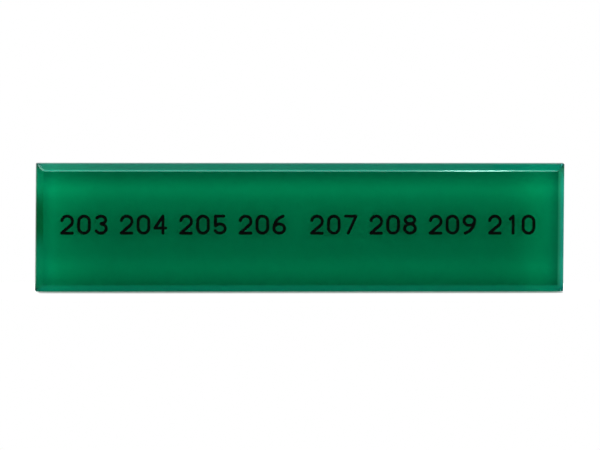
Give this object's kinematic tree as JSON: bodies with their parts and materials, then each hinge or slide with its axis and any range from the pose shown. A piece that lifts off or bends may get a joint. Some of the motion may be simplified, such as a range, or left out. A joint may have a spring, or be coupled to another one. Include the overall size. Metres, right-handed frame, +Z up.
{
  "type": "mailbox name plate",
  "caption": "Rectangular bevelled name plate of clear green acrylic, engraved with paint-filled numbers, on double-sided foam tape.",
  "frame": {"origin": "centre of the rear adhesive face, where the plate meets the mailbox door", "axes": "+X along the plate, to the right as the numbers are read; +Y into the door; +Z up"},
  "size_m": [0.099, 0.004, 0.024],
  "materials": {
    "acrylic": "through-dyed clear green acrylic, polished",
    "paint": "black engraving paint, satin",
    "foam": "closed-cell white foam",
    "adhesive": "smooth tacky acrylic adhesive on white foam"
  },
  "bodies": {
    "root": {"name_plate": "acrylic", "paint_digit_01": "paint", "paint_digit_02": "paint", "paint_digit_03": "paint", "paint_digit_04": "paint", "paint_digit_05": "paint", "paint_digit_06": "paint", "paint_digit_07": "paint", "paint_digit_08": "paint", "paint_digit_09": "paint", "paint_digit_10": "paint", "paint_digit_11": "paint", "paint_digit_12": "paint", "paint_digit_13": "paint", "paint_digit_14": "paint", "paint_digit_15": "paint", "paint_digit_16": "paint", "paint_digit_17": "paint", "paint_digit_18": "paint", "paint_digit_19": "paint", "paint_digit_20": "paint", "paint_digit_21": "paint", "paint_digit_22": "paint", "paint_digit_23": "paint", "paint_digit_24": "paint", "adhesive_film_front": "adhesive", "foam_core": "foam", "adhesive_film_rear": "adhesive"}
  },
  "joints": []
}
